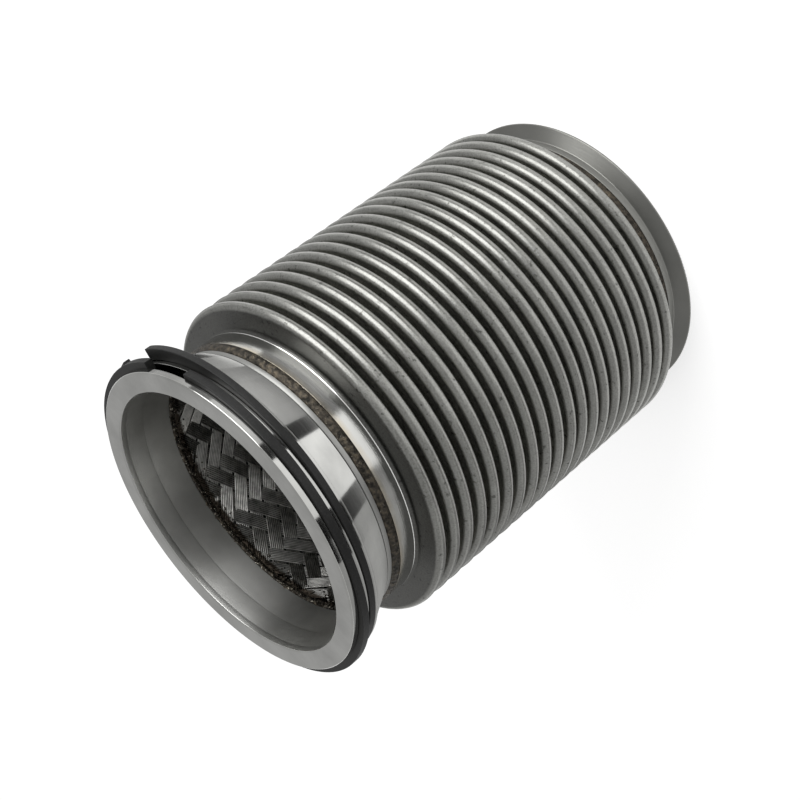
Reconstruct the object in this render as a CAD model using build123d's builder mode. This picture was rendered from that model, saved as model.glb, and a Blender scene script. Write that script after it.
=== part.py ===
from build123d import *
import os
from math import atan2, cos, radians, sin, tan

os.makedirs("parts", exist_ok=True)

# Exhaust flex pipe, standing on its outlet flange. Sizes are in millimetres, angles in degrees.
# The origin is the centre of the flange's flat face and +Z runs up the pipe to the inlet collar.

# Bellows. Every other radius hangs on the outside of its plain tails.
tail_radius = 58.8
bellows_wall = 0.6
root_rise = 1.2            # from the tail out to the bottom of a convolution
fold_depth = 10.3          # from the bottom of a convolution out to its crest
front_pitch = 7.6          # the convolutions stand a little wider at the inlet half
rear_pitch = 6.95
front_pitch_count = 10
rear_pitch_count = 9
fold_gap = 2.05            # clear gap between two convolutions at the outlet half
end_fillet = 1.6           # where a tail turns up into the end wall
end_wall_set_back = 0.1    # straight bit of tail between the cuff's edge and that fillet

# Cuffs that band the bellows' tails
cuff_wall = 0.7
cuff_gap = 0.1             # between a cuff and the tail inside it
front_cuff_length = 7.75
rear_cuff_length = 5.3
cuff_chamfer = 0.3

# Welds
front_weld_width = 3.6
rear_weld_width = 3.5
weld_crown = 0.6           # how far a bead bulges past the straight line between its toes
liner_weld_width = 2.2

# Woven liner
liner_clearance = 1.2      # between the bellows' tail and the liner inside it
liner_wall = 1.4
liner_seat_gap = 0.1       # between the liner or its weld and the wall around it
ridge_height = 0.35
ridge_pitch = 7.7          # the ribbons' crowns repeat at this spacing along the pipe
gap_rows = 5
gaps_per_row = 24
gap_length = 6.0
gap_width = 1.2
weave_angle = 54.5         # of the ribbons, measured from the pipe's axis

# Inlet collar, turned from one ring
collar_length = 29.0
strip_width = 2.7          # plain strip between the cone and the weld
relief_width = 0.65        # small groove in that strip, at the foot of the cone
relief_depth = 0.35
strip_step = 0.2           # from the bellows' tail down to the strip
cone_small_step = 0.4      # from the strip up to the cone's small end
cone_large_step = 0.5      # from the lip down to the cone's large end
throat_step = 1.1          # the shoulder inside, against which the liner's weld sits
bore_taper = 2.2           # the bore is this much wider at the mouth, in radius
mouth_chamfer = 0.5
liner_seat_depth = 6.0     # how far the recess for the liner runs into the collar
groove_floor_wall = 3.4    # between the mouth of the bore and the grooves' floor
groove_depth = 5.2
lip_width = 3.1
lip_chamfer = 0.5
front_groove_width = 3.5
land_width = 1.9
rear_groove_width = 3.0
rear_land_width = 1.7

# Seal rings, split, sprung out of round and lying on the lower side of their grooves
ring_depth_play = 0.5      # how much less deep a ring's section is than its groove
ring_side_gap = 0.1        # play of a ring in its groove
ring_stand_out = 0.5       # from the lip out to a ring, where the ring lies deepest
ring_lift = 4.5            # further out than that, where a ring has sprung most

# Outlet flange, pressed from sheet
flange_weld_room = 0.9     # between the liner and the flange's neck
flange_wall = 2.1
flange_rim_width = 0.8
flare_width = 5.1          # from the neck out to the rim
flare_height = 4.8
neck_height = 8.0

# Radii
root_radius = tail_radius + root_rise
crest_radius = root_radius + fold_depth
crest_round = (rear_pitch - fold_gap) / 2
tail_inner = tail_radius - bellows_wall
cuff_inner = tail_radius + cuff_gap
cuff_outer = cuff_inner + cuff_wall
liner_outer_radius = tail_inner - liner_clearance
liner_inner = liner_outer_radius - liner_wall
strip_radius = tail_radius - strip_step
throat_radius = liner_outer_radius - throat_step
mouth_radius = throat_radius + bore_taper
groove_floor_radius = mouth_radius + groove_floor_wall
lip_radius = groove_floor_radius + groove_depth
ring_depth = groove_depth - ring_depth_play
flange_bore = liner_outer_radius + flange_weld_room
flange_neck_radius = flange_bore + flange_wall
flange_radius = flange_neck_radius + flare_width

# Heights, from the flange's face upwards
rear_tail_end = neck_height + rear_weld_width
rear_cuff_top = rear_tail_end + rear_cuff_length
last_crest = rear_cuff_top + end_wall_set_back + end_fillet + crest_round
first_crest = last_crest + rear_pitch_count * rear_pitch + front_pitch_count * front_pitch
front_cuff_bottom = first_crest + crest_round + end_fillet + end_wall_set_back
front_tail_end = front_cuff_bottom + front_cuff_length
collar_bottom = front_tail_end + front_weld_width
front_face = collar_bottom + collar_length
throat_height = collar_bottom + liner_seat_depth
liner_top = throat_height - liner_weld_width
liner_bottom = neck_height - liner_weld_width

front_groove_top = front_face - lip_width
front_groove_bottom = front_groove_top - front_groove_width
rear_groove_top = front_groove_bottom - land_width
rear_groove_bottom = rear_groove_top - rear_groove_width
cone_top = rear_groove_bottom - rear_land_width
cone_foot = collar_bottom + strip_width


def turn(*corners):
    """Turn a closed section, given by its (radius, height) corners, about the pipe's axis."""
    with BuildSketch(Plane.XZ) as section:
        with BuildLine():
            Polyline(*corners, close=True)
        make_face()
    revolve(section.sketch, axis=Axis.Z)


def crest_heights():
    """Height of each crest, from the inlet end down."""
    heights = [first_crest]
    for count, pitch in ((front_pitch_count, front_pitch), (rear_pitch_count, rear_pitch)):
        for _ in range(count):
            heights.append(heights[-1] - pitch)
    return heights


def quarter_fillet(tail, radius, height, direction):
    """Arc from a tail's straight side into an end wall, the tail running off in the direction."""
    bulge = radius * (1 - cos(radians(45)))
    ThreePointArc(
        (tail, height + direction * radius),
        (tail + bulge, height + direction * bulge),
        (tail + radius, height),
    )


def bellows_skin(inset):
    """One side of the bellows' wall in section: the outer skin at inset 0, or one inside it."""
    tail = tail_radius - inset
    crest = crest_round - inset
    fillet_radius = end_fillet + inset
    crest_side = crest_radius - crest_round
    heights = crest_heights()
    top_wall = heights[0] + crest
    bottom_wall = heights[-1] - crest

    Line((tail, front_tail_end), (tail, top_wall + fillet_radius))
    quarter_fillet(tail, fillet_radius, top_wall, 1)
    Line((tail + fillet_radius, top_wall), (crest_side, top_wall))
    for height in heights:
        ThreePointArc((crest_side, height + crest), (crest_side + crest, height), (crest_side, height - crest))
    for height, below in zip(heights, heights[1:]):
        root = (height - below) / 2 - crest
        root_side = root_radius + (height - below) / 2 - crest_round
        middle = (height + below) / 2
        Line((crest_side, height - crest), (root_side, height - crest))
        ThreePointArc((root_side, middle + root), (root_side - root, middle), (root_side, middle - root))
        Line((root_side, below + crest), (crest_side, below + crest))
    Line((crest_side, bottom_wall), (tail + fillet_radius, bottom_wall))
    quarter_fillet(tail, fillet_radius, bottom_wall, -1)
    Line((tail, bottom_wall - fillet_radius), (tail, rear_tail_end))


def bead(bottom_radius, bottom, top_radius, top):
    """Turn a weld bead with a crowned outside between its two toes, flush inside with the tail."""
    crown = (bottom_radius + top_radius) / 2 + weld_crown
    with BuildSketch(Plane.XZ) as section:
        with BuildLine():
            Polyline((bottom_radius, bottom), (tail_inner, bottom), (tail_inner, top), (top_radius, top))
            ThreePointArc((top_radius, top), (crown, (bottom + top) / 2), (bottom_radius, bottom))
        make_face()
    revolve(section.sketch, axis=Axis.Z)


def around(radius, angle):
    """Point at a radius, at an angle that is counted from -Y towards +X."""
    return (radius * sin(radians(angle)), -radius * cos(radians(angle)))


def split_ring(outline, bottom, width):
    """Split ring through the outline's (angle, lift) points, lift as a share of ring_lift."""
    lowest = lip_radius + ring_stand_out
    outside = [around(lowest + lift * ring_lift, angle) for angle, lift in outline]
    inside = [around(lowest + lift * ring_lift - ring_depth, angle) for angle, lift in outline]
    with BuildSketch(Plane.XY.offset(bottom)) as section:
        with BuildLine():
            Spline(*outside)
            Line(outside[-1], inside[-1])
            Spline(*inside)
            Line(inside[0], outside[0])
        make_face()
    extrude(section.sketch, amount=width)


# Inlet collar: front lip, two ring grooves with a land between them, cone and welding strip
with BuildPart() as inlet_collar:
    turn(
        (mouth_radius, front_face),
        (lip_radius, front_face),
        (lip_radius, front_groove_top),
        (groove_floor_radius, front_groove_top),
        (groove_floor_radius, front_groove_bottom),
        (lip_radius, front_groove_bottom),
        (lip_radius, rear_groove_top),
        (groove_floor_radius, rear_groove_top),
        (groove_floor_radius, rear_groove_bottom),
        (lip_radius, rear_groove_bottom),
        (lip_radius, cone_top),
        (lip_radius - cone_large_step, cone_top),
        (strip_radius + cone_small_step, cone_foot),
        (strip_radius - relief_depth, cone_foot),
        (strip_radius - relief_depth, cone_foot - relief_width),
        (strip_radius, cone_foot - relief_width),
        (strip_radius, collar_bottom),
        (liner_outer_radius + liner_seat_gap, collar_bottom),
        (liner_outer_radius + liner_seat_gap, throat_height),
        (throat_radius, throat_height),
    )
    face_edges = inlet_collar.faces().sort_by(Axis.Z)[-1].edges().sort_by(SortBy.RADIUS)
    chamfer(face_edges[0], length=mouth_chamfer)
    face_edges = inlet_collar.faces().sort_by(Axis.Z)[-1].edges().sort_by(SortBy.RADIUS)
    chamfer(face_edges[-1], length=lip_chamfer)

# The front ring has sprung out towards +Y; its ends stand 20 degrees apart
front_ring_outline = [
    (67, 0.4), (85, 0.61), (97, 0.73), (110, 0.9), (125, 0.97), (140, 0.89), (160, 0.78),
    (185, 0.69), (212, 0.69), (240, 0.74), (260, 0.68), (278, 0.58), (288, 0.47), (298, 0.38),
    (308, 0.27), (320, 0.13), (335, 0.09), (350, 0.13), (365, 0.18), (380, 0.24), (407, 0.29),
]
with BuildPart() as front_seal_ring:
    split_ring(front_ring_outline, front_groove_bottom, front_groove_width - ring_side_gap)

# The rear ring has sprung out of its groove at both of its ends, 18 degrees apart
rear_ring_outline = [
    (90, 0.96), (103, 0.78), (120, 0.51), (150, 0.18), (185, 0.04), (230, 0.0), (280, 0.0),
    (320, 0.02), (340, 0.09), (360, 0.21), (385, 0.42), (397, 0.62), (408, 0.78), (420, 0.91),
    (432, 0.98),
]
with BuildPart() as rear_seal_ring:
    split_ring(rear_ring_outline, rear_groove_bottom, rear_groove_width - ring_side_gap)

# Bellows: thin corrugated tube with plain tails
with BuildPart() as bellows:
    with BuildSketch(Plane.XZ) as wall_section:
        with BuildLine():
            bellows_skin(0)
            bellows_skin(bellows_wall)
            Line((tail_radius, front_tail_end), (tail_inner, front_tail_end))
            Line((tail_radius, rear_tail_end), (tail_inner, rear_tail_end))
        make_face()
    revolve(axis=Axis.Z)

# Cuffs around the tails; the edge next to the end wall is chamfered
with BuildPart() as front_cuff:
    turn(
        (cuff_inner, front_cuff_bottom),
        (cuff_outer - cuff_chamfer, front_cuff_bottom),
        (cuff_outer, front_cuff_bottom + cuff_chamfer),
        (cuff_outer, front_tail_end),
        (cuff_inner, front_tail_end),
    )
with BuildPart() as rear_cuff:
    turn(
        (cuff_inner, rear_cuff_top),
        (cuff_outer - cuff_chamfer, rear_cuff_top),
        (cuff_outer, rear_cuff_top - cuff_chamfer),
        (cuff_outer, rear_tail_end),
        (cuff_inner, rear_tail_end),
    )

# Weld beads around the outside
with BuildPart() as front_weld:
    bead(cuff_outer, front_tail_end, strip_radius, collar_bottom)
with BuildPart() as rear_weld:
    bead(flange_neck_radius, neck_height, cuff_outer, rear_tail_end)

# Weld beads that hold the liner's ends
with BuildPart() as front_liner_weld:
    turn(
        (liner_inner, liner_top),
        (liner_outer_radius, liner_top),
        (liner_outer_radius, throat_height),
        (liner_inner + ridge_height, throat_height),
    )
with BuildPart() as rear_liner_weld:
    turn(
        (liner_inner, liner_bottom),
        (flange_bore - liner_seat_gap, liner_bottom),
        (flange_bore - liner_seat_gap, liner_bottom - liner_weld_width / 2),
        (liner_outer_radius, liner_bottom - liner_weld_width),
        (liner_inner + ridge_height, liner_bottom - liner_weld_width),
    )

# Woven liner: one wall with a ridge inside for each row of crowns, and slanted gaps between
ridge_rows = int((liner_top - liner_bottom) / ridge_pitch)
ridge_step = (liner_top - liner_bottom) / ridge_rows
row_step = int(ridge_rows / gap_rows)
gap_cut = 4 * liner_wall   # long enough to pass through the wall
crowns = []
for row in range(ridge_rows):
    start = liner_bottom + row * ridge_step
    crowns += [(liner_inner + ridge_height, start), (liner_inner, start + ridge_step / 2)]
crowns.append((liner_inner + ridge_height, liner_top))
with BuildPart() as braid_liner:
    turn(*crowns, (liner_outer_radius, liner_top), (liner_outer_radius, liner_bottom))
    for row in range(gap_rows):
        height = liner_top - (row + 0.5) * row_step * ridge_step
        slant = weave_angle if row % 2 else -weave_angle
        with Locations((0, 0, height)):
            with PolarLocations(liner_outer_radius, gaps_per_row):
                Box(gap_cut, gap_width, gap_length, rotation=(slant, 0, 0), mode=Mode.SUBTRACT)

# Outlet flange: short neck, flare and a narrow flat rim that the pipe stands on
flare_angle = atan2(flare_height - flange_rim_width, flange_radius - flange_neck_radius)
rim_inner = flange_radius - flange_wall / sin(flare_angle) + flange_rim_width / tan(flare_angle)
flare_inner_top = (rim_inner - flange_bore) * tan(flare_angle)
with BuildPart() as outlet_flange:
    turn(
        (rim_inner, 0),
        (flange_radius, 0),
        (flange_radius, flange_rim_width),
        (flange_neck_radius, flare_height),
        (flange_neck_radius, neck_height),
        (flange_bore, neck_height),
        (flange_bore, flare_inner_top),
    )

pieces = {
    "inlet_collar": inlet_collar,
    "front_seal_ring": front_seal_ring,
    "rear_seal_ring": rear_seal_ring,
    "front_cuff": front_cuff,
    "front_weld": front_weld,
    "front_liner_weld": front_liner_weld,
    "bellows": bellows,
    "braid_liner": braid_liner,
    "rear_liner_weld": rear_liner_weld,
    "rear_weld": rear_weld,
    "rear_cuff": rear_cuff,
    "outlet_flange": outlet_flange,
}
for name, piece in pieces.items():
    piece.part.label = name
    export_step(piece.part, f"parts/{name}.step")
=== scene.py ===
"""Looks of an exhaust flex pipe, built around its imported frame.

The pipe stands on its outlet flange at the origin and runs up +Z to its inlet collar. Angles around
it are counted from -Y, the side that faces the camera, towards +X. Lengths are in metres.
"""
import random
from math import atan2, cos, floor, pi, radians, sin

import bmesh
import bpy
from bpy.props import FloatProperty, FloatVectorProperty, IntProperty, PointerProperty
from mathutils import Matrix, Vector, noise


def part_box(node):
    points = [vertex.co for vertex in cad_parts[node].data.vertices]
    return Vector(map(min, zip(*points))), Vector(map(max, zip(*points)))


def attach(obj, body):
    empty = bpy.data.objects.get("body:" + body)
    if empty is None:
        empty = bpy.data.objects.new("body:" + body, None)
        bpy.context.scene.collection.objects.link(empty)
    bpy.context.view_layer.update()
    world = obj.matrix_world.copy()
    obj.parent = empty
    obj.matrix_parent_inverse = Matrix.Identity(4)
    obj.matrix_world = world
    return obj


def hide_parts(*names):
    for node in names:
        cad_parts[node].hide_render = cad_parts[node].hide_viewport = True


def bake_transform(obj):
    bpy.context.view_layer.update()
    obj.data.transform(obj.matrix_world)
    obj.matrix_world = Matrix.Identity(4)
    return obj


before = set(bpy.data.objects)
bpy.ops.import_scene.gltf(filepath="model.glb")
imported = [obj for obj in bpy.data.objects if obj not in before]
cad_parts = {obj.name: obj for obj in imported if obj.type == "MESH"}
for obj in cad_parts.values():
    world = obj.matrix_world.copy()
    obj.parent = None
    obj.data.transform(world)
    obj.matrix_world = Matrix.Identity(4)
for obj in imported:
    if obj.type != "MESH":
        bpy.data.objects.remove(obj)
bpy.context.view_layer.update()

bl_info = {
    "name": "Exhaust Flex Pipe",
    "version": (1, 0, 0),
    "blender": (4, 5, 0),
    "location": "3D View > Sidebar > Flex Pipe",
    "description": "Builds an exhaust flex pipe with bellows, woven liner and split seal rings",
    "category": "Add Mesh",
}

INLET_END = "inlet_end"
OUTLET_END = "outlet_end"
NOISE_SEED = 3


def low(node):
    """Height of a CAD node's underside."""
    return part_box(node)[0].z


def high(node):
    """Height of a CAD node's top."""
    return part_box(node)[1].z


def reach(node):
    """Outer radius of a round CAD node."""
    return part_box(node)[1].x


def length(name, description, default):
    """A length in metres."""
    return FloatProperty(
        name=name, description=description, default=default, unit="LENGTH", precision=5
    )


def colour(name, description, default):
    """A linear colour."""
    return FloatVectorProperty(
        name=name, description=description, default=default, subtype="COLOR", min=0, max=1
    )


def count(name, description, default):
    """A number of things."""
    return IntProperty(name=name, description=description, default=default, min=1)


def share(name, description, default):
    """A number from 0 to 1."""
    return FloatProperty(
        name=name, description=description, default=default, min=0, max=1, subtype="FACTOR"
    )


class CollarSizes(bpy.types.PropertyGroup):
    """Inlet collar, turned from one ring"""

    land_width: length("Land", "Width of the land between the ring grooves", 0.0019)
    ring_side_gap: length("Ring play", "Play of a seal ring in its groove", 0.0001)
    rear_land_width: length("Rear land", "Width of the land behind the rear groove", 0.0017)
    chamfer: length("Chamfers", "Chamfers inside and outside the front face", 0.0005)
    groove_floor: length("Groove floor", "Radius of the ring grooves' floor", 0.0615)
    cone_large: length("Cone, large end", "Radius of the cone next to the rear land", 0.0662)
    cone_small: length("Cone, small end", "Radius of the cone next to the strip", 0.0590)
    strip: length("Strip", "Radius of the strip next to the weld", 0.0586)
    strip_width: length("Strip width", "Width of the strip next to the weld", 0.0027)
    relief_width: length("Relief width", "Width of the groove at the cone's foot", 0.00065)
    relief_depth: length("Relief depth", "Depth of the groove at the cone's foot", 0.00035)
    mouth: length("Mouth", "Radius of the bore at the front face", 0.0581)
    throat: length("Throat", "Radius of the bore at its narrow end", 0.0559)
    recess: length("Recess", "Radius of the recess that the liner sits in", 0.0571)
    recess_depth: length("Recess depth", "How far the recess runs into the collar", 0.0060)
    score_width: length("Score width", "Width of the score lines in the bore", 0.00022)
    edge: length("Edge", "Rounding of the collar's outer edges", 0.00018)


class BellowsSizes(bpy.types.PropertyGroup):
    """Bellows with round crests and plain tails"""

    tail: length("Tail", "Outer radius of the plain tails", 0.0588)
    root: length("Root", "Outer radius at the bottom of a convolution", 0.0600)
    wall: length("Wall", "Thickness of the wall", 0.0006)
    crest_round: length("Crest rounding", "Outer radius of a crest, seen in section", 0.00245)
    front_pitch: length("Front pitch", "Spacing of the convolutions at the inlet half", 0.0076)
    end_fillet: length("End fillet", "Fillet between a tail and the end wall", 0.0016)
    set_back: length("Set-back", "Straight tail between a cuff and the fillet", 0.0001)
    front_count: count("Front count", "Wide pitches", 10)
    rear_count: count("Rear count", "Narrow pitches", 9)
    segments: count("Segments", "Divisions around the pipe", 168)
    wobble: length("Wobble", "How far a crest strays from its true circle", 0.00016)


class WeldSizes(bpy.types.PropertyGroup):
    """Weld beads and the cuffs beside them"""

    cuff: length("Cuff", "Outer radius of the cuffs", 0.0596)
    cuff_bore: length("Cuff bore", "Inner radius of the cuffs", 0.0589)
    cuff_flare: length("Cuff flare", "How far a cuff's free edge turns out", 0.0002)
    crown: length("Crown", "How far a bead stands above its toes", 0.0006)
    root: length("Root", "Radius of a bead's root", 0.0582)
    ripple: length("Ripple", "Depth of a bead's ripples", 0.00022)
    ripples: count("Ripples", "Ripples around the pipe", 170)
    inner: length("Inner beads", "Inner radius of the two beads on the liner", 0.0553)
    lump: length("Lumps", "Depth of the inner beads' lumps", 0.0009)
    stray_wires: count("Stray wires", "Wires in the bead", 110)
    drops: count("Drops", "Droplets beside the front bead", 900)


class FlangeSizes(bpy.types.PropertyGroup):
    """Outlet flange, pressed from sheet"""

    seat: length("Seat", "Inner radius of the flat face", 0.06272)
    rim_edge: length("Rim edge", "Height of the rim's edge", 0.0008)
    neck: length("Neck", "Outer radius of the neck", 0.0600)
    wall: length("Wall", "Thickness of the neck", 0.0021)
    flare_top: length("Flare top", "Height at which the flare turns up into the neck", 0.0048)
    bore_foot: length("Bore foot", "Height at which the bore starts to widen", 0.00378)


class LinerSizes(bpy.types.PropertyGroup):
    """Woven liner of flat ribbons, each made of a few wires side by side"""

    ribbons: count("Ribbons", "Ribbons in each direction", 32)
    wires: count("Wires", "Wires in a ribbon", 7)
    middle: length("Middle", "Radius at which the two directions cross", 0.05630)
    width: length("Ribbon width", "Width of a ribbon", 0.0055)
    thickness: length("Thickness", "Thickness of a ribbon between its wires", 0.00022)
    wire_height: length("Wire height", "How far a wire stands out of its ribbon", 0.00022)
    float_height: length("Float", "How far a ribbon moves in or out at a crossing", 0.00034)
    tilt: share("Tilt", "How much a ribbon twists on its way, as a slope", 0.06)
    stray: length("Stray", "How far a ribbon strays in or out on its way", 0.00006)
    angle: FloatProperty(
        name="Weave angle", description="Angle between a ribbon and the pipe's axis",
        default=radians(54.5), subtype="ANGLE",
    )
    column: FloatProperty(
        name="Column", description="Angle of a column of floats, counted from -Y towards +X",
        default=radians(173.2), subtype="ANGLE",
    )
    one_way_start: length("One way", "Height at +X of a ribbon that turns one way", 0.00474)
    other_way_start: length("Other way", "Height at +X of a ribbon that turns the other way", 0.00700)


class FinishColours(bpy.types.PropertyGroup):
    """Colours and roughness of the metals"""

    turned: colour("Turned steel", "Collar and cuffs", (0.56, 0.56, 0.54))
    formed: colour("Formed steel", "Bellows", (0.62, 0.62, 0.583))
    pressed: colour("Pressed steel", "Flange", (0.24, 0.24, 0.225))
    iron: colour("Ring iron", "Seal rings", (0.012, 0.012, 0.0115))
    weld: colour("Weld", "Oxide on the welds", (0.045, 0.039, 0.031))
    wire: colour("Wire", "Woven liner", (0.52, 0.515, 0.49))
    tint: colour("Heat tint", "Straw tint beside the welds", (0.50, 0.45, 0.36))
    turned_roughness: share("Turned roughness", "Roughness of the turned steel", 0.10)
    formed_roughness: share("Formed roughness", "Roughness of the formed steel", 0.33)


class StageSettings(bpy.types.PropertyGroup):
    """Camera, floor and lamps"""

    camera_place: FloatVectorProperty(
        name="Camera place", description="Where the camera stands",
        default=(-0.00373, -0.55461, 0.43629), subtype="TRANSLATION",
    )
    camera_turn: FloatVectorProperty(
        name="Camera turn", description="Which way the camera points",
        default=(radians(-46.331), radians(42.828), radians(-147.020)), subtype="EULER",
    )
    lens: FloatProperty(
        name="Lens", description="Focal length on a 36 mm sensor", default=72.07, unit="CAMERA"
    )
    camera_shift: FloatProperty(
        name="Camera shift", description="Half a pixel, as a share of the picture", default=0.000625
    )
    floor: length("Floor", "Half the width of the floor", 4.0)
    floor_hole: length("Floor hole", "Radius inside which the floor doesn't glow", 0.063)
    floor_glow: FloatProperty(name="Floor glow", description="What makes it white", default=0.62)
    room: FloatProperty(name="Room", description="Brightness of the room", default=0.50)


class FlexPipeSettings(bpy.types.PropertyGroup):
    """All that can be set on the pipe"""

    collar: PointerProperty(type=CollarSizes)
    bellows: PointerProperty(type=BellowsSizes)
    weld: PointerProperty(type=WeldSizes)
    flange: PointerProperty(type=FlangeSizes)
    liner: PointerProperty(type=LinerSizes)
    finish: PointerProperty(type=FinishColours)
    stage: PointerProperty(type=StageSettings)


def settings():
    """The pipe's settings in the current scene."""
    return bpy.context.scene.flex_pipe


# Drawing a section in the XZ plane


def pen_down(bm, radius, height):
    """Start a section at a radius and a height."""
    return bmesh.ops.create_vert(bm, co=(radius, 0, height))["vert"][0]


def line_to(bm, tip, radius, height):
    """Draw a straight line from the tip and return the new tip."""
    tip = bmesh.ops.extrude_vert_indiv(bm, verts=[tip])["verts"][0]
    tip.co = (radius, 0, height)
    return tip


def arc_about(bm, tip, radius, height, angle, steps):
    """Swing the tip about a centre and return the new tip. A positive angle turns +Z towards +X."""
    swept = bmesh.ops.spin(
        bm, geom=[tip], cent=(radius, 0, height), axis=(0, 1, 0), angle=angle, steps=steps
    )
    return swept["geom_last"][0]


def verts_in(geometry):
    """Only the vertices of what an operator returns."""
    return [item for item in geometry if isinstance(item, bmesh.types.BMVert)]


def outline(bm, corners):
    """Draw a closed section through (radius, height) corners."""
    first = pen_down(bm, *corners[0])
    tip = first
    for corner in corners[1:]:
        tip = line_to(bm, tip, *corner)
    bmesh.ops.contextual_create(bm, geom=[first, tip])


def turn(bm, segments):
    """Turn the section that was drawn into a closed ring about the pipe's axis."""
    bmesh.ops.spin(
        bm, geom=bm.verts[:] + bm.edges[:], cent=(0, 0, 0), axis=(0, 0, 1),
        angle=2 * pi, steps=segments, use_merge=True,
    )
    bmesh.ops.remove_doubles(bm, verts=bm.verts, dist=1e-6)
    bmesh.ops.recalc_face_normals(bm, faces=bm.faces)


def round_edges(bm, width, crisp=()):
    """Round each edge whose faces meet at an angle, but for the crisp corners."""

    def rounded(edge):
        if edge.calc_face_angle(0) < radians(28):
            return False
        place = edge.verts[0].co
        return all(
            abs(place.xy.length - radius) + abs(place.z - height) > 5e-6
            for radius, height in crisp
        )

    sharp = [edge for edge in bm.edges if rounded(edge)]
    bmesh.ops.bevel(
        bm, geom=sharp, offset=width, segments=2, profile=0.5, affect="EDGES", material=-1
    )


def in_scene(name, data):
    """New object in the scene."""
    thing = bpy.data.objects.new(name, data)
    bpy.context.scene.collection.objects.link(thing)
    return thing


def placed(bm, name, material):
    """Object at the origin from a drawn mesh."""
    mesh = bpy.data.meshes.new(name)
    bm.to_mesh(mesh)
    bm.free()
    mesh.materials.append(bpy.data.materials[material])
    return in_scene(name, mesh)


def finished(bm, name, material, weighted=False):
    """Smooth piece in its slot, with weighted normals if its flat faces have rounded edges."""
    piece = placed(bm, name, material)
    piece.data.polygons.foreach_set("use_smooth", [True] * len(piece.data.polygons))
    if weighted:
        flat_first = piece.modifiers.new("Weighted normals", "WEIGHTED_NORMAL")
        flat_first.mode = "FACE_AREA"
        flat_first.weight = 50
    return piece


def lathe(name, corners, segments, edge, material, crisp=()):
    """Turned piece with rounded edges."""
    bm = bmesh.new()
    outline(bm, corners)
    turn(bm, segments)
    round_edges(bm, edge, crisp)
    return finished(bm, name, material, weighted=True)


# Materials


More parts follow.
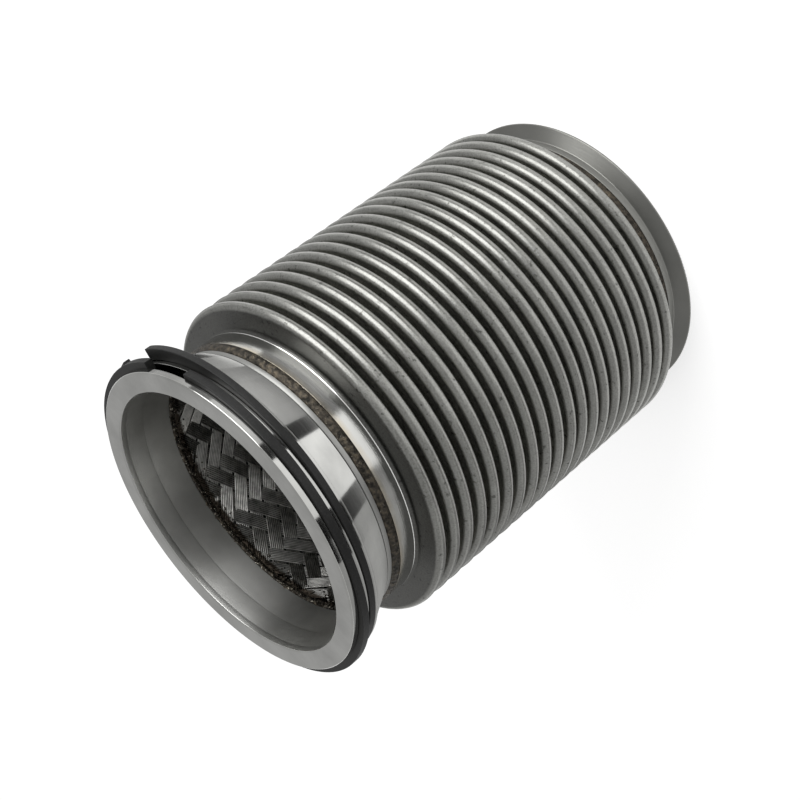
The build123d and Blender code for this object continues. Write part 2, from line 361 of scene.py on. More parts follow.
class Nodes:
    """A new material: a node tree with one Principled shader, and short ways to add to it."""

    def __init__(self, name, metallic, roughness, base):
        if name in bpy.data.materials:
            raise ValueError(f"{name} is the frame's own material")
        material = bpy.data.materials.new(name)
        material.use_nodes = True
        self.tree = material.node_tree
        self.shader = self.tree.nodes["Principled BSDF"]
        self.feed("Metallic", metallic)
        self.feed("Roughness", roughness)
        self.feed("Base Color", base)
        self.coordinates = self.add("TexCoord", {}, "Object")

    def put(self, value, target):
        """Link an output to a socket, or set a constant on it."""
        if isinstance(value, bpy.types.NodeSocket):
            self.tree.links.new(value, target)
        elif target.type == "RGBA":
            target.default_value = (*value, 1)
        else:
            target.default_value = value

    def feed(self, socket, value):
        """Link an output to one of the shader's sockets, or set a constant on it."""
        self.put(value, self.shader.inputs[socket])

    def add(self, kind, sockets, output=0, **options):
        """Output of a new node, with values or links in its sockets."""
        node = self.tree.nodes.new(f"ShaderNode{kind}")
        for option, value in options.items():
            setattr(node, option, value)
        for socket, value in sockets.items():
            self.put(value, node.inputs[socket])
        return node.outputs[output]

    def math(self, operation, *values):
        """Math node on two or three values."""
        return self.add("Math", dict(enumerate(values)), operation=operation)

    def vector(self, operation, *values, output=0):
        """Vector Math node on one or two values."""
        return self.add("VectorMath", dict(enumerate(values)), output, operation=operation)

    def height(self):
        """Height above the flange's face, in metres."""
        return self.add("SeparateXYZ", {0: self.coordinates}, "Z")

    def radius(self):
        """Distance from the pipe's axis, in metres."""
        flat = self.vector("MULTIPLY", self.coordinates, (1, 1, 0))
        return self.vector("LENGTH", flat, output="Value")

    def outward(self):
        """Level direction away from the pipe's axis."""
        return self.vector("NORMALIZE", self.vector("MULTIPLY", self.coordinates, (1, 1, 0)))

    def noise(self, scale, detail=3.0, roughness=0.55, place=None):
        """Noise from 0 to 1 on the object's coordinates, or on a place of its own."""
        sockets = {"Scale": scale, "Detail": detail, "Roughness": roughness}
        return self.add("TexNoise", {**sockets, "Vector": place or self.coordinates}, "Fac")

    def marks(self, around, across, detail=3.0):
        """Turning marks: noise that changes slowly round the axis and fast across it."""
        radius_share = 1.37
        run = self.vector("MULTIPLY", self.outward(), (around, around, 0))
        side = self.math("MULTIPLY_ADD", self.radius(), radius_share, self.height())
        rise = self.add("CombineXYZ", {"Z": self.math("MULTIPLY", side, across)})
        return self.noise(1.0, detail, place=self.vector("ADD", run, rise))

    def ramp(self, value, *stops):
        """Colour ramp through (position, grey or colour) stops."""
        colours = self.add("ValToRGB", {0: value}, "Color")
        elements = colours.node.color_ramp.elements
        while len(elements) < len(stops):
            elements.new(1)
        for element, (position, shade) in zip(elements, stops):
            element.position = position
            element.color = (shade, shade, shade, 1) if isinstance(shade, float) else (*shade, 1)
        return colours

    def between(self, value, start, end):
        """Straight step from 0 at start to 1 at end."""
        return self.add("MapRange", {"Value": value, "From Min": start, "From Max": end}, "Result")

    def inside(self, value, start, end, soft=0.0001):
        """1 where a value lies between start and end, 0 outside, with soft sides."""
        rise = self.between(value, start - soft, start + soft)
        fall = self.between(value, end + soft, end - soft)
        return self.math("MULTIPLY", rise, fall)

    def mix(self, factor, first, second, blend="MIX"):
        """Mix of two colours."""
        sockets = {"Factor": factor, "A": first, "B": second}
        return self.add("Mix", sockets, "Result", data_type="RGBA", blend_type=blend)

    def shaded(self, base, *shades):
        """Colour multiplied by each shade in turn."""
        for shade in shades:
            base = self.mix(1.0, base, shade, "MULTIPLY")
        return base

    def in_world(self, direction):
        """Direction on the object, as a direction in the world."""
        spaces = {"convert_from": "OBJECT", "convert_to": "WORLD"}
        return self.add("VectorTransform", {0: direction}, vector_type="NORMAL", **spaces)

    def brushed(self, strength, rotation):
        """Stretch reflections in a direction: a full turn is 1, and 0 runs round the axis."""
        around = self.vector("CROSS_PRODUCT", (0, 0, 1), self.coordinates)
        self.feed("Tangent", self.in_world(self.vector("NORMALIZE", around)))
        self.feed("Anisotropic", strength)
        self.feed("Anisotropic Rotation", rotation)

    def levelled(self, amount):
        """Surface normal, turned by an amount from 0 to 1 towards level and away from the axis."""
        plain = self.add("NewGeometry", {}, "Normal")
        change = self.vector("SUBTRACT", self.in_world(self.outward()), plain)
        part = self.add("VectorMath", {0: change, "Scale": amount}, operation="SCALE")
        return self.vector("NORMALIZE", self.vector("ADD", plain, part))

    def bump(self, *layers, normal=None):
        """Bump from (height, distance) layers, one over another."""
        for height, distance in layers:
            below = {"Normal": normal} if normal else {}
            normal = self.add("Bump", {"Height": height, "Distance": distance, **below}, "Normal")
        self.feed("Normal", normal)


def turned_steel():
    """Finely turned stainless steel: mirror bright lands, a stepped cone, a duller bore and painted
    shade in the grooves.
    """
    finish = settings().finish
    sizes = settings().collar
    metal = Nodes("collar_steel", 1.0, finish.turned_roughness, finish.turned)
    metal.brushed(0.4, 0.25)
    height = metal.height()
    radius = metal.radius()
    foot = low("inlet_collar") + sizes.strip_width
    cone_top = low("rear_seal_ring") - sizes.rear_land_width
    bore_side = 0.0580
    outer_side = 0.0584
    outside = metal.between(radius, bore_side, outer_side)
    bore = metal.between(radius, outer_side, bore_side)
    cone = metal.math("MULTIPLY", outside, metal.inside(height, foot, cone_top))
    strip = metal.math("MULTIPLY", outside, metal.between(height, foot, foot - 0.0003))
    # Painted shade: the ring grooves and the relief groove at the cone's foot are coloured near black
    grooves = metal.math(
        "MULTIPLY", metal.inside(height, low("rear_seal_ring"), high("front_seal_ring")),
        metal.inside(radius, sizes.groove_floor - 0.0003, reach("inlet_collar") - 0.0004, 0.0003),
    )
    relief = metal.math(
        "MULTIPLY", metal.inside(height, foot - sizes.relief_width, foot, 0.00008),
        metal.inside(radius, sizes.recess + 0.0007, sizes.strip - 0.0001, 0.00005),
    )
    stain = metal.ramp(metal.noise(55.0, 4.0), (0.30, 0.80), (0.62, 1.0))
    base = metal.mix(strip, metal.shaded(finish.turned, stain), (0.34, 0.34, 0.327))
    base = metal.mix(metal.math("MAXIMUM", grooves, relief), base, (0.03, 0.03, 0.028))
    metal.feed("Base Color", base)
    wide = metal.marks(3.0, 900)
    rough = metal.math("MULTIPLY_ADD", wide, 0.06, finish.turned_roughness - 0.03)
    for part, added in ((strip, 0.28), (bore, 0.26)):
        rough = metal.math("MULTIPLY_ADD", part, added, rough)
    metal.feed("Roughness", rough)
    metal.bump((wide, 0.000003), normal=metal.levelled(cone))


def formed_steel():
    """Satin formed sheet: painted shade down in the folds, bright flanks, greyer crests and tails."""
    finish = settings().finish
    sizes = settings().bellows
    metal = Nodes("formed_steel", 1.0, finish.formed_roughness, finish.formed)
    end = sizes.set_back + sizes.end_fillet + sizes.crest_round
    folds = metal.inside(
        metal.height(), high("rear_cuff") + end, low("front_cuff") - end, sizes.crest_round / 2
    )
    root_side = 0.0605
    crest_side = 0.0688
    depth = metal.between(metal.radius(), root_side, crest_side)
    # Painted shade: the sheet darkens towards the roots of the folds, where shade falls between the
    # crests
    fold_painted_shade = metal.ramp(depth, (0.0, 0.10), (0.26, 0.30), (0.42, 1.0), (0.82, 1.0), (0.94, 0.60))
    on_ends = metal.ramp(depth, (0.0, 0.25), (0.88, 0.25), (1.0, 0.60))
    speckle = metal.noise(1500.0)
    cloud = metal.ramp(metal.noise(70.0, 4.0), (0.30, 0.84), (0.65, 1.0))
    grain = metal.ramp(speckle, (0.32, 0.66), (0.62, 1.0))
    pits = metal.ramp(metal.noise(480.0), (0.30, 0.45), (0.37, 1.0))
    place = metal.mix(folds, on_ends, fold_painted_shade)
    metal.feed("Base Color", metal.shaded(finish.formed, cloud, grain, pits, place))
    rough = metal.math("MULTIPLY_ADD", speckle, 0.18, finish.formed_roughness - 0.09)
    metal.feed("Roughness", rough)
    metal.bump((speckle, 0.000034), (metal.marks(7.0, 2600), 0.00003))


def flange_steel():
    """Smooth pressed sheet with a faint grain."""
    finish = settings().finish
    metal = Nodes("flange_steel", 1.0, 0.34, finish.pressed)
    cloud = metal.ramp(metal.noise(60.0, 4.0), (0.3, 0.85), (0.7, 1.0))
    metal.feed("Base Color", metal.shaded(finish.pressed, cloud))
    metal.bump((metal.marks(5.0, 2400), 0.00002))


def cuff_steel():
    """Cuff steel: a straw tint by the weld, a painted highlight on the free edge in front and painted
    shade on the rear cuff.
    """
    finish = settings().finish
    metal = Nodes("cuff_steel", 1.0, finish.turned_roughness + 0.04, finish.turned)
    height = metal.height()
    near_front = metal.between(height, high("front_cuff") - 0.0025, high("front_cuff"))
    near_rear = metal.between(height, low("rear_cuff") + 0.003, low("rear_cuff"))
    near = metal.math("MAXIMUM", near_front, near_rear)
    patches = metal.noise(120.0)
    tinted = metal.math("MULTIPLY", near, metal.between(patches, 0.2, 0.6))
    base = metal.mix(tinted, finish.turned, finish.tint)
    # Painted shade: the rear cuff below its free edge is coloured near black
    rear_cuff_shade_top = 0.0170
    rear_cuff_shade = metal.between(height, rear_cuff_shade_top, rear_cuff_shade_top - 0.0002)
    base = metal.mix(rear_cuff_shade, base, (0.06, 0.06, 0.055))
    half_way = 0.10
    front = metal.between(height, half_way, half_way + 0.01)
    # Painted highlight: the front cuff's free edge is coloured near white
    edge = metal.between(height, low("front_cuff") + 0.0007, low("front_cuff") + 0.0004)
    base = metal.mix(metal.math("MULTIPLY", edge, front), base, (0.95, 0.95, 0.93))
    metal.feed("Base Color", base)
    metal.bump((metal.marks(2.0, 5000, 2.0), 0.000015), (patches, 0.00006))


def ring_iron():
    """Dark phosphated iron with a fine grain along the ring."""
    finish = settings().finish
    metal = Nodes("seal_iron", 0.0, 0.40, finish.iron)
    metal.feed("Specular IOR Level", 0.28)
    fleck = metal.ramp(metal.noise(1500.0), (0.50, 0.8), (0.72, 1.6))
    metal.feed("Base Color", metal.shaded(finish.iron, fleck))
    metal.bump((metal.noise(900.0, 4.0), 0.00003), (metal.marks(9.0, 3000), 0.00003))


def weld_steel():
    """Brown oxide with a few grains painted bright as glints: lighter outside, and with brighter
    painted glints inside.
    """
    finish = settings().finish
    shades = ((0.012, 0.011, 0.009), finish.weld, (0.105, 0.087, 0.062))
    for name, roughness, rarity, painted_glint_colour, patch_scale, lightness in (
        ("bead_steel", 0.42, 0.64, (0.50, 0.46, 0.38), 480.0, 1.35),
        ("grain_steel", 0.34, 0.58, (0.85, 0.80, 0.68), 300.0, 1.0),
    ):
        metal = Nodes(name, 0.8, roughness, finish.weld)
        grain = metal.noise(1300.0, 4.0, 0.7)
        patch = metal.noise(patch_scale)
        browns = [Vector(shade) * lightness for shade in shades]
        brown = metal.ramp(patch, *zip((0.34, 0.52, 0.74), browns))
        # Painted glints: a few grains are coloured near white to stand in for reflections
        painted_glints = metal.between(grain, rarity, rarity + 0.08)
        metal.feed("Base Color", metal.mix(painted_glints, brown, painted_glint_colour))
        metal.bump((patch, 0.0004), (grain, 0.0003))


def liner_wire():
    """Drawn wire, a little uneven, with painted shade that makes one way darker, and scorched next to
    the front bead.
    """
    finish = settings().finish
    turn_share = settings().liner.angle / (2 * pi)
    top = high("braid_liner")
    # Painted shade: the ribbons that run the other way are a darker copy of the same wire
    for name, hand, painted_light_share in (("wire_one_way", 1, 1.0), ("wire_other_way", -1, 0.6)):
        metal = Nodes(name, 1.0, 0.34, finish.wire)
        metal.brushed(0.9, (hand * turn_share) % 1)
        shade = metal.ramp(metal.noise(330.0), (0.30, 0.5 * painted_light_share), (0.62, painted_light_share))
        near = metal.between(metal.height(), top - 0.0042, top - 0.0002)
        ragged = metal.math("ADD", near, metal.noise(420.0, 4.0, 0.65))
        scorch = metal.between(ragged, 0.75, 1.05)
        base = metal.mix(scorch, metal.shaded(finish.wire, shade), (0.040, 0.033, 0.026))
        metal.feed("Base Color", base)
        metal.bump((metal.noise(2200.0, 2.0), 0.00002))


class FLEXPIPE_OT_collar(bpy.types.Operator):
    """Turn the inlet collar with its lip, ring grooves, cone, bore and score lines"""

    bl_idname = "flex_pipe.collar"
    bl_label = "Inlet Collar"

    def execute(self, context):
        sizes = settings().collar
        bottom = low("inlet_collar")
        face = high("inlet_collar")
        lip = reach("inlet_collar")
        lip_bottom = high("front_seal_ring") + sizes.ring_side_gap
        land_top = low("front_seal_ring")
        land_bottom = land_top - sizes.land_width
        rear_land_top = low("rear_seal_ring")
        cone_top = rear_land_top - sizes.rear_land_width
        throat_height = bottom + sizes.recess_depth

        def score(below_face):
            """Three corners of a fine V cut into the bore, this far behind the front face."""
            width = sizes.score_width
            level = face - below_face
            slope = (sizes.mouth - sizes.throat) / (face - throat_height)
            radius = sizes.mouth - slope * below_face
            return (radius, level - width), (radius + width, level), (radius, level + width)

        foot = bottom + sizes.strip_width
        relief = [
            (sizes.strip - sizes.relief_depth, foot),
            (sizes.strip - sizes.relief_depth, foot - sizes.relief_width),
            (sizes.strip, foot - sizes.relief_width),
        ]
        deep_score = score(0.0107)
        shallow_score = score(0.0028)
        corners = [
            (sizes.mouth, face - sizes.chamfer),
            (sizes.mouth + sizes.chamfer, face),
            (lip - sizes.chamfer, face),
            (lip, face - sizes.chamfer),
            (lip, lip_bottom),
            (sizes.groove_floor, lip_bottom),
            (sizes.groove_floor, land_top),
            (lip, land_top),
            (lip, land_bottom),
            (sizes.groove_floor, land_bottom),
            (sizes.groove_floor, rear_land_top),
            (lip, rear_land_top),
            (lip, cone_top),
            (sizes.cone_large, cone_top),
            (sizes.cone_small, foot),
            *relief,
            (sizes.strip, bottom),
            (sizes.recess, bottom),
            (sizes.recess, throat_height),
            (sizes.throat, throat_height),
            *deep_score,
            *shallow_score,
        ]
        collar = lathe(
            "collar", corners, 288, sizes.edge, "collar_steel",
            crisp=(*relief, *deep_score, *shallow_score),
        )
        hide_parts("inlet_collar")
        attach(collar, INLET_END)
        return {"FINISHED"}


class FLEXPIPE_OT_seal_rings(bpy.types.Operator):
    """Give the two split seal rings rounded edges and their dark finish"""

    bl_idname = "flex_pipe.seal_rings"
    bl_label = "Seal Rings"

    def execute(self, context):
        for node in ("front_seal_ring", "rear_seal_ring"):
            bm = bmesh.new()
            bm.from_mesh(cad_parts[node].data)
            bmesh.ops.remove_doubles(bm, verts=bm.verts, dist=1e-6)
            bmesh.ops.dissolve_limit(bm, angle_limit=radians(1), verts=bm.verts, edges=bm.edges)
            round_edges(bm, 0.00025)
            ring = finished(bm, node.replace("_seal", ""), "seal_iron", weighted=True)
            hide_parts(node)
            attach(ring, INLET_END)
        return {"FINISHED"}


class FLEXPIPE_OT_bellows(bpy.types.Operator):
    """Form the bellows from one wall with round crests, round roots and plain tails"""

    bl_idname = "flex_pipe.bellows"
    bl_label = "Bellows"

    def crest_heights(self):
        """Height of each crest, from the inlet end down."""
        sizes = settings().bellows
        end = sizes.set_back + sizes.end_fillet + sizes.crest_round
        first = low("front_cuff") - end
        last = high("rear_cuff") + end
        front_run = sizes.front_count * sizes.front_pitch
        rear_pitch = (first - last - front_run) / sizes.rear_count
        heights = [first - step * sizes.front_pitch for step in range(sizes.front_count)]
        start = first - front_run
        return heights + [start - step * rear_pitch for step in range(sizes.rear_count + 1)]

    def skin(self, bm, heights, inset, crest_steps, root_steps):
        """Draw one side of the wall from the inlet end down and return its two end points."""
        sizes = settings().bellows
        tail = sizes.tail - inset
        crest = sizes.crest_round - inset
        fillet = sizes.end_fillet + inset
        crest_side = reach("bellows") - sizes.crest_round
        first = pen_down(bm, tail, high("bellows"))
        tip = line_to(bm, first, tail, heights[0] + crest + fillet)
        tip = arc_about(bm, tip, tail + fillet, heights[0] + crest + fillet, -pi / 2, 4)
        tip = line_to(bm, tip, crest_side, heights[0] + crest)
        for height, below in zip(heights, heights[1:]):
            tip = arc_about(bm, tip, crest_side, height, pi, crest_steps)
            half_gap = (height - below) / 2
            root_side = sizes.root + half_gap - sizes.crest_round
            middle = (height + below) / 2
            tip = line_to(bm, tip, root_side, height - crest)
            tip = arc_about(bm, tip, root_side, middle, -pi, root_steps)
            tip = line_to(bm, tip, crest_side, below + crest)
        tip = arc_about(bm, tip, crest_side, heights[-1], pi, crest_steps)
        foot = heights[-1] - crest
        tip = line_to(bm, tip, tail + fillet, foot)
        tip = arc_about(bm, tip, tail + fillet, foot - fillet, -pi / 2, 4)
        tip = line_to(bm, tip, tail, low("bellows"))
        return first, tip

    def stray(self, verts):
        """Move each fold a little off its true circle, most at its crest."""
        sizes = settings().bellows
        crest_side = reach("bellows") - sizes.crest_round
        waves, folds, apart = 22, 132, 3.7
        for vert in verts:
            radius = vert.co.xy.length
            depth = (radius - sizes.root) / (crest_side - sizes.root)
            if depth <= 0:
                continue
            amount = min(depth, 1) * sizes.wobble
            fold = round(vert.co.z * folds)
            stray = noise.noise_vector(Vector((vert.co.x * waves, vert.co.y * waves, fold * apart)))
            vert.co.z += stray.z * amount
            vert.co.xy *= 1 - 0.4 * abs(stray.x) * amount / radius

    def execute(self, context):
        sizes = settings().bellows
        heights = self.crest_heights()
        bm = bmesh.new()
        outside = self.skin(bm, heights, 0, 10, 4)
        inside = self.skin(bm, heights, sizes.wall, 5, 4)
        for pair in zip(outside, inside):
            bmesh.ops.contextual_create(bm, geom=list(pair))
        turn(bm, sizes.segments)
        self.stray(bm.verts)
        bellows = finished(bm, "bellows_skin", "formed_steel")
        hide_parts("bellows")
        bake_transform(bellows)
        return {"FINISHED"}


class FLEXPIPE_OT_cuffs(bpy.types.Operator):
    """Turn the two thin cuffs that band the bellows' tails"""

    bl_idname = "flex_pipe.cuffs"
    bl_label = "Cuffs"

    def execute(self, context):
        sizes = settings().weld
        flared = sizes.cuff + sizes.cuff_flare
        for node, body, way in (("front_cuff", INLET_END, 1), ("rear_cuff", OUTLET_END, -1)):
            free, welded = (low(node), high(node))[::way]
            corners = [
                (sizes.cuff_bore, free),
                (flared - 0.0001, free),
                (flared, free + way * 0.0002),
                (sizes.cuff, free + way * 0.0006),
                (sizes.cuff, welded),
                (sizes.cuff_bore, welded),
            ]
            name = node.replace("cuff", "band")
            cuff = lathe(name, corners, 256, 0.0001, "cuff_steel")
            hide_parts(node)
            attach(cuff, body)
        return {"FINISHED"}


class FLEXPIPE_OT_welds(bpy.types.Operator):
    """Lay the two rippled beads that join the bellows to the collar and to the flange"""

    bl_idname = "flex_pipe.welds"
    bl_label = "Welds"

    def section(self, low_toe, high_toe, bottom, top):
        """Corners of a bead's section: a crowned face between two toes, over the root."""
        sizes = settings().weld
        steps = 8
        corners = [(sizes.root, bottom)]
        for step in range(steps + 1):
            part = step / steps
            radius = low_toe + (high_toe - low_toe) * part
            bulge = sizes.crown * (1 - (2 * part - 1) ** 2)
            corners.append((radius + bulge, bottom + (top - bottom) * part))
        return corners + [(sizes.root, top)]

    def ripple(self, place, across):
        """Depth of the ripples at a place: curved scales that lean along the seam."""
        angle = atan2(place.y, place.x)
        lean = 1.6 * across * across
        scale = angle * settings().weld.ripples / (2 * pi) + lean
        scale += 0.35 * noise.noise(place * 400)
        step = scale - floor(scale)
        return -0.5 + 0.8 * (step - 1) + 0.5 * noise.noise(place * 900)

    def execute(self, context):
        sizes = settings().weld
        toes = (
            ("front_weld", INLET_END, sizes.cuff, settings().collar.strip),
            ("rear_weld", OUTLET_END, settings().flange.neck, sizes.cuff),
        )
        for node, body, low_toe, high_toe in toes:
            bottom, top = low(node), high(node)
            bm = bmesh.new()
            outline(bm, self.section(low_toe, high_toe, bottom, top))
            turn(bm, 4 * sizes.ripples)
            bm.normal_update()
            for vert in bm.verts:
                across = (vert.co.z - (bottom + top) / 2) / (top - bottom)
                between_toes = abs(across) < 0.475
                if between_toes and vert.co.xy.length > sizes.root + 1e-5:
                    vert.co += vert.normal * sizes.ripple * self.ripple(vert.co, across)
            bead = finished(bm, node.replace("weld", "bead"), "bead_steel")
            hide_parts(node)
            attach(bead, body)
        return {"FINISHED"}


class FLEXPIPE_OT_liner_welds(bpy.types.Operator):
    """Lay the rough beads that hold the liner's ends, with stray wire ends in the front one"""

    bl_idname = "flex_pipe.liner_welds"
    bl_label = "Liner Welds"

    def rough_bead(self, node, body, name):
        """Ring of lumpy weld metal over a CAD bead's own section."""
        sizes = settings().weld
        bottom, top = low(node), high(node)
        outer = reach(node)
        overlap = 0.0004
        middle = Vector(((outer + sizes.inner) / 2, (top + bottom) / 2))
        half = Vector(((outer - sizes.inner) / 2, (top - bottom) / 2 + overlap))
        angles = [step * pi / 6 for step in range(12)]
        bm = bmesh.new()
        outline(bm, [(middle.x + half.x * cos(a), middle.y + half.y * sin(a)) for a in angles])
        turn(bm, 520)
        bm.normal_update()
        for vert in bm.verts:
            lump = noise.turbulence(vert.co * 620, 3, False) - 0.45
            vert.co += vert.normal * sizes.lump * lump
        bead = finished(bm, name, "grain_steel")
        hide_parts(node)
        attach(bead, body)

    def stand(self, bm, verts, angle, radius, height, *leans):
        """Put what was drawn at the origin on the bore's wall, leaning first."""
        spot = Matrix.Rotation(angle, 4, "Z") @ Matrix.Translation((radius, 0, height))
        for lean in leans:
            spot = spot @ lean
        bmesh.ops.transform(bm, matrix=spot, verts=verts)

    def wire_ends(self, number):
        """Short wires that stick out of the front bead into the bore."""
        draw = random.Random(7)
        bm = bmesh.new()
        level = low("front_liner_weld")
        wall = 0.0557
        for _ in range(number):
            angle = draw.uniform(0, 2 * pi)
            size = draw.uniform(0.0012, 0.0034)
            wire = bmesh.ops.create_cone(
                bm, cap_ends=True, segments=6, radius1=0.00016, radius2=0.00013, depth=size
            )["verts"]
            lean = Matrix.Rotation(draw.uniform(-1.0, 1.0), 4, "X")
            tip_over = Matrix.Rotation(draw.uniform(-0.5, 0.2), 4, "Y")
            inward = draw.uniform(0, 0.0004)
            self.stand(bm, wire, angle, wall - inward, level + size * 0.25, lean, tip_over)
        wires = finished(bm, "wire_ends", "wire_one_way")
        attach(wires, INLET_END)

    def spatter(self, number):
        """Droplets of weld metal on the ribbons' ends next to the front bead."""
        draw = random.Random(11)
        bm = bmesh.new()
        top = low("front_liner_weld") + 0.0012
        spread = 0.0062
        wall = 0.05565
        for _ in range(number):
            angle = draw.uniform(0, 2 * pi)
            size = draw.uniform(0.00012, 0.00042)
            drop = bmesh.ops.create_icosphere(bm, subdivisions=2, radius=size)["verts"]
            height = top - spread * draw.random() ** 1.6
            self.stand(bm, drop, angle, wall - size * 0.4, height)
        drops = finished(bm, "spatter", "grain_steel")
        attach(drops, INLET_END)

    def execute(self, context):
        sizes = settings().weld
        self.rough_bead("front_liner_weld", INLET_END, "front_inner_bead")
        self.rough_bead("rear_liner_weld", OUTLET_END, "rear_inner_bead")
        self.wire_ends(sizes.stray_wires)
        self.spatter(sizes.drops)
        return {"FINISHED"}


class FLEXPIPE_OT_liner(bpy.types.Operator):
    """Weave the liner from ribbons that pass over two and under two"""

    bl_idname = "flex_pipe.liner"
    bl_label = "Woven Liner"

    def section(self):
        """Corners of a ribbon's section: radius and place across it, with a round on each wire."""
        sizes = settings().liner
        half = sizes.width / 2
        outer = sizes.middle + sizes.thickness / 2
        inner = sizes.middle - sizes.thickness / 2
        wire_width = sizes.width / sizes.wires
        corners = [(outer, -half)]
        for wire in range(sizes.wires):
            side = -half + wire * wire_width
            for part, rise in ((0, 0), (0.14, 0.65), (0.5, 1), (0.86, 0.65)):
                corners.append((inner - rise * sizes.wire_height, side + part * wire_width))
        return corners + [(inner, half), (outer, half)]

    def ribbons(self, name, hand, material):
        """All ribbons of one direction: hand is 1 or -1, the way they turn as they rise."""
        sizes = settings().liner
        bottom, top = low("braid_liner"), high("braid_liner")
        spread = sin(sizes.angle)
        rise = cos(sizes.angle)
        spacing = 2 * pi / sizes.ribbons
        climb = sizes.middle * spacing * rise / spread
        margin = sizes.width
        step = spacing / 4
        steps = 4 * (int((top - bottom + 2 * margin) / climb) + 2)
        lead = (sizes.column - pi / 2) % step
        phase = sizes.one_way_start if hand > 0 else sizes.other_way_start
        phase += hand * lead / spacing * climb
        start = phase - climb * (floor((phase - bottom + margin) / climb) + 1)
        bm = bmesh.new()
        row_of = bm.verts.layers.int.new("row")
        side_of = bm.verts.layers.float.new("side")
        outline(bm, self.section())
        for vert in bm.verts:
            vert[side_of] = vert.co.z
        slant = Matrix.Rotation(atan2(-rise, -hand * spread), 3, "X")
        spot = Matrix.Rotation(lead, 3, "Z") @ slant
        bmesh.ops.rotate(bm, cent=(0, 0, 0), matrix=spot, verts=bm.verts)
        bmesh.ops.translate(bm, vec=(0, 0, start), verts=bm.verts)
        last = bm.verts[:] + bm.edges[:]
        for row in range(1, steps + 1):
            last = bmesh.ops.spin(
                bm, geom=last, cent=(0, 0, 0), axis=(0, 0, 1), dvec=(0, 0, climb / 4),
                angle=hand * step, steps=1,
            )["geom_last"]
            for vert in verts_in(last):
                vert[row_of] = row

        def weave(verts, number):
            """Move one ribbon in and out, over two and under two, with a little tilt."""
            for vert in verts:
                row = vert[row_of]
                angle = pi / 2 + lead + hand * row * step + number * spacing
                wave = 1.5 * cos(pi * (angle - sizes.column) / spacing)
                inward = hand * max(-1, min(1, wave)) * sizes.float_height
                stray = noise.noise_vector(Vector((number * 3.1, row * 0.37, hand * 5.3)))
                outward = vert[side_of] * stray.x * sizes.tilt + stray.y * sizes.stray
                radius = vert.co.xy.length
                vert.co.xy *= (radius - inward + outward) / radius

        one = bm.verts[:] + bm.edges[:] + bm.faces[:]
        for number in range(1, sizes.ribbons):
            verts = verts_in(bmesh.ops.duplicate(bm, geom=one)["geom"])
            around = Matrix.Rotation(number * spacing, 3, "Z")
            bmesh.ops.rotate(bm, cent=(0, 0, 0), matrix=around, verts=verts)
            weave(verts, number)
        weave(verts_in(one), 0)
        for level, way in ((top, 1), (bottom, -1)):
            cut = bmesh.ops.bisect_plane(
                bm, geom=bm.verts[:] + bm.edges[:] + bm.faces[:], plane_co=(0, 0, level),
                plane_no=(0, 0, way), clear_outer=True,
            )
            rim = [item for item in cut["geom_cut"] if isinstance(item, bmesh.types.BMEdge)]
            bmesh.ops.edgenet_fill(bm, edges=rim)
        bmesh.ops.recalc_face_normals(bm, faces=bm.faces)
        return finished(bm, name, material)

    def execute(self, context):
        for name, hand, material in (
            ("ribbons_one_way", 1, "wire_one_way"), ("ribbons_other_way", -1, "wire_other_way"),
        ):
            weave = self.ribbons(name, hand, material)
            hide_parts("braid_liner")
            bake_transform(weave)
        return {"FINISHED"}


class FLEXPIPE_OT_flange(bpy.types.Operator):
    """Press the flared outlet flange with its short neck"""

    bl_idname = "flex_pipe.flange"
    bl_label = "Outlet Flange"

    def execute(self, context):
        sizes = settings().flange
        top = high("outlet_flange")
        rim = reach("outlet_flange")
        bore = sizes.neck - sizes.wall
        corners = [
            (sizes.seat, 0),
            (rim, 0),
            (rim, sizes.rim_edge),
            (sizes.neck, sizes.flare_top),
            (sizes.neck, top),
            (bore, top),
            (bore, sizes.bore_foot),
        ]
        flange = lathe("flange", corners, 256, 0.0003, "flange_steel")
        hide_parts("outlet_flange")
        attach(flange, OUTLET_END)
        return {"FINISHED"}


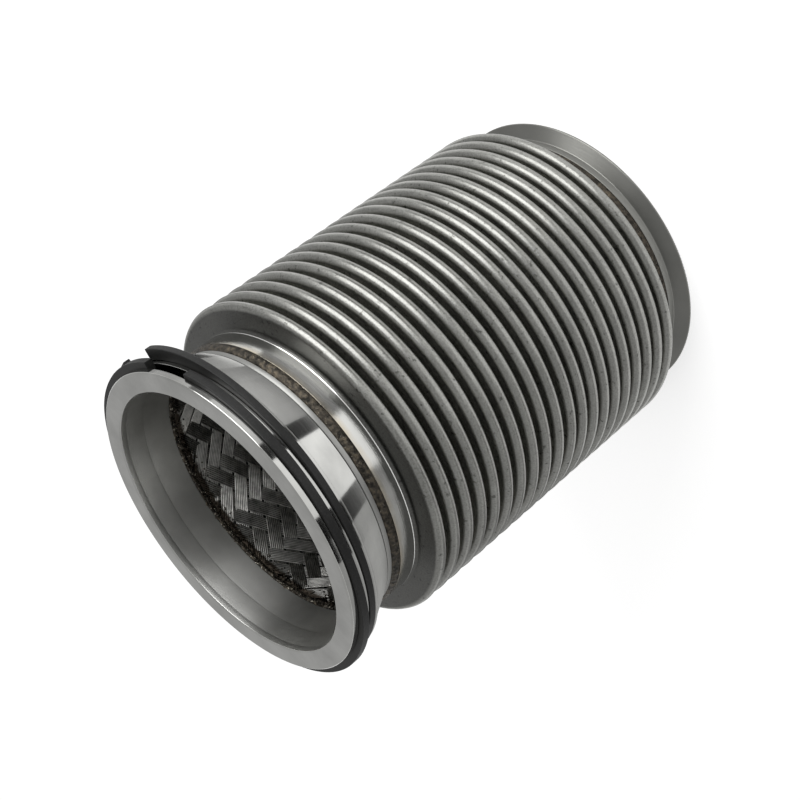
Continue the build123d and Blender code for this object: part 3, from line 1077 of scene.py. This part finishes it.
class FLEXPIPE_OT_stage(bpy.types.Operator):
    """Set up the camera, the white floor, the world and the lamps"""

    bl_idname = "flex_pipe.stage"
    bl_label = "Stage"

    # Radii of the floor that the collar's lip, its cone and the cuff below it reflect
    zones = {"lip": (0.45, 0.75), "cone": (0.40, 0.45), "cuff": (0.20, 0.40)}
    # Cards in each zone: the two angles in degrees and the shade
    cards = {
        "lip": (
            (-150, -62, 0.75), (-62, -30, 0.01), (12, 24, 0.03), (24, 66, 0.58),
            (66, 84, 0.20), (84, 120, 0.85), (120, 200, 0.65),
        ),
        "cone": (
            (-150, -46, 1.0), (-46, -30, 0.12), (12, 24, 0.03), (24, 66, 0.42),
            (66, 108, 0.50), (108, 165, 0.02),
        ),
        "cuff": (
            (-150, -46, 0.60), (-46, -30, 0.80), (12, 24, 0.40), (24, 84, 0.20),
        ),
    }

    def matt(self, name, shade):
        """Matt white or grey."""
        plain = Nodes(name, 0.0, 0.9, (shade, shade, shade))
        plain.feed("Specular IOR Level", 0.0)
        return plain

    def add_floor(self):
        """Plain white floor that keeps the pipe's shadow and doesn't glow under the pipe."""
        stage = settings().stage
        white = self.matt("floor_white", 0.8)
        path = white.add("LightPath", {}).node.outputs
        seen = white.math("MAXIMUM", path["Is Camera Ray"], path["Is Glossy Ray"])
        seen = white.math("MAXIMUM", seen, path["Is Transmission Ray"])
        away = white.vector("LENGTH", white.coordinates, output="Value")
        outside = white.math("GREATER_THAN", away, stage.floor_hole)
        glow = white.math("MULTIPLY", white.math("MULTIPLY", seen, outside), stage.floor_glow)
        white.feed("Emission Color", (1, 1, 1))
        white.feed("Emission Strength", glow)
        bm = bmesh.new()
        bmesh.ops.create_grid(bm, x_segments=1, y_segments=1, size=stage.floor)
        placed(bm, "floor", "floor_white")

    def add_card(self, name, start, end, near, far, shade):
        """Card on the floor, between two angles and two radii, that shows only in the metal."""
        self.matt(name, shade)
        bm = bmesh.new()
        tip = bmesh.ops.create_vert(bm, co=(0, -near, 0.0004))["vert"]
        bmesh.ops.rotate(bm, matrix=Matrix.Rotation(radians(start), 3, "Z"), verts=tip)
        bmesh.ops.spin(
            bm, geom=tip, cent=(0, 0, 0), axis=(0, 0, 1), angle=radians(end - start), steps=12
        )
        for vert in verts_in(bmesh.ops.extrude_edge_only(bm, edges=bm.edges)["geom"]):
            vert.co.xy *= far / near
        bmesh.ops.recalc_face_normals(bm, faces=bm.faces)
        card = placed(bm, name, name)
        card.visible_camera = False
        card.visible_diffuse = False
        card.visible_shadow = False

    def add_world(self):
        """Plain grey room."""
        room = settings().stage.room
        world = bpy.data.worlds.new("room")
        world.use_nodes = True
        background = world.node_tree.nodes["Background"]
        background.inputs["Color"].default_value = (room, room, room, 1)
        bpy.context.scene.world = world

    def add_lamp(self, name, kind, place, aim, power, **shape):
        """Lamp of a kind and a shape that points at an aim."""
        lamp = bpy.data.lights.new(name, kind)
        lamp.energy = power
        for option, value in shape.items():
            setattr(lamp, option, value)
        holder = in_scene(name, lamp)
        holder.location = place
        holder.rotation_euler = (Vector(aim) - Vector(place)).to_track_quat("-Z", "Y").to_euler()

    def add_lamps(self):
        """Broad key lamp from the right, and two narrow beams into the mouth and on the liner."""
        beside, over = (0.421, -0.354, 0.30), (0.4393, -0.3686, 0.5915)
        level, mouth, weave = (0, 0, 0.30), (0, 0, 0.20), (-0.005, 0.055, 0.160)
        self.add_lamp("key", "AREA", beside, level, 2.9, shape="RECTANGLE", size=0.55, size_y=0.55)
        broad = {"shadow_soft_size": 0.06, "spot_size": radians(7), "spot_blend": 0.3}
        narrow = {"shadow_soft_size": 0.07, "spot_size": radians(4), "spot_blend": 1.0}
        self.add_lamp("mouth_light", "SPOT", over, mouth, 1.3, **broad)
        self.add_lamp("liner_light", "SPOT", over, weave, 6.0, **narrow)

    def add_camera(self):
        """Camera at the photograph's viewing angle."""
        stage = settings().stage
        camera = bpy.data.cameras.new("camera")
        camera.lens = stage.lens
        camera.sensor_width = 36
        camera.clip_start = 0.01
        camera.shift_x = -stage.camera_shift
        camera.shift_y = stage.camera_shift
        holder = in_scene("camera", camera)
        holder.location = stage.camera_place
        holder.rotation_euler = stage.camera_turn
        bpy.context.scene.camera = holder

    def execute(self, context):
        self.add_camera()
        self.add_floor()
        self.add_world()
        for zone, cards in self.cards.items():
            for start, end, shade in cards:
                self.add_card(f"card_{zone}_{start}", start, end, *self.zones[zone], shade)
        self.add_lamps()
        bpy.context.scene.view_settings.view_transform = "Standard"
        return {"FINISHED"}


class FLEXPIPE_PT_sidebar(bpy.types.Panel):
    """Sidebar panel with a button for each group of pieces"""

    bl_label = "Flex Pipe"
    bl_space_type = "VIEW_3D"
    bl_region_type = "UI"
    bl_category = "Flex Pipe"

    def draw(self, context):
        for operator in OPERATORS:
            self.layout.operator(operator.bl_idname)


GROUPS = (
    CollarSizes, BellowsSizes, WeldSizes, FlangeSizes, LinerSizes, FinishColours, StageSettings,
    FlexPipeSettings,
)
OPERATORS = (
    FLEXPIPE_OT_stage, FLEXPIPE_OT_collar, FLEXPIPE_OT_seal_rings, FLEXPIPE_OT_bellows,
    FLEXPIPE_OT_cuffs, FLEXPIPE_OT_welds, FLEXPIPE_OT_liner_welds, FLEXPIPE_OT_liner,
    FLEXPIPE_OT_flange,
)
FINISHES = (
    turned_steel, formed_steel, flange_steel, cuff_steel, ring_iron, weld_steel, liner_wire,
)
CLASSES = (*GROUPS, *OPERATORS, FLEXPIPE_PT_sidebar)


def register():
    """Add the classes and the scene's settings."""
    for item in CLASSES:
        bpy.utils.register_class(item)
    bpy.types.Scene.flex_pipe = PointerProperty(type=FlexPipeSettings)


def unregister():
    """Remove the scene's settings and the classes."""
    del bpy.types.Scene.flex_pipe
    for item in reversed(CLASSES):
        bpy.utils.unregister_class(item)


def main():
    """Build every piece."""
    register()
    noise.seed_set(NOISE_SEED)
    for finish in FINISHES:
        finish()
    bpy.ops.flex_pipe.stage()
    bpy.ops.flex_pipe.collar()
    bpy.ops.flex_pipe.seal_rings()
    bpy.ops.flex_pipe.bellows()
    bpy.ops.flex_pipe.cuffs()
    bpy.ops.flex_pipe.welds()
    bpy.ops.flex_pipe.liner_welds()
    bpy.ops.flex_pipe.liner()
    bpy.ops.flex_pipe.flange()


if __name__ == "__main__":
    main()
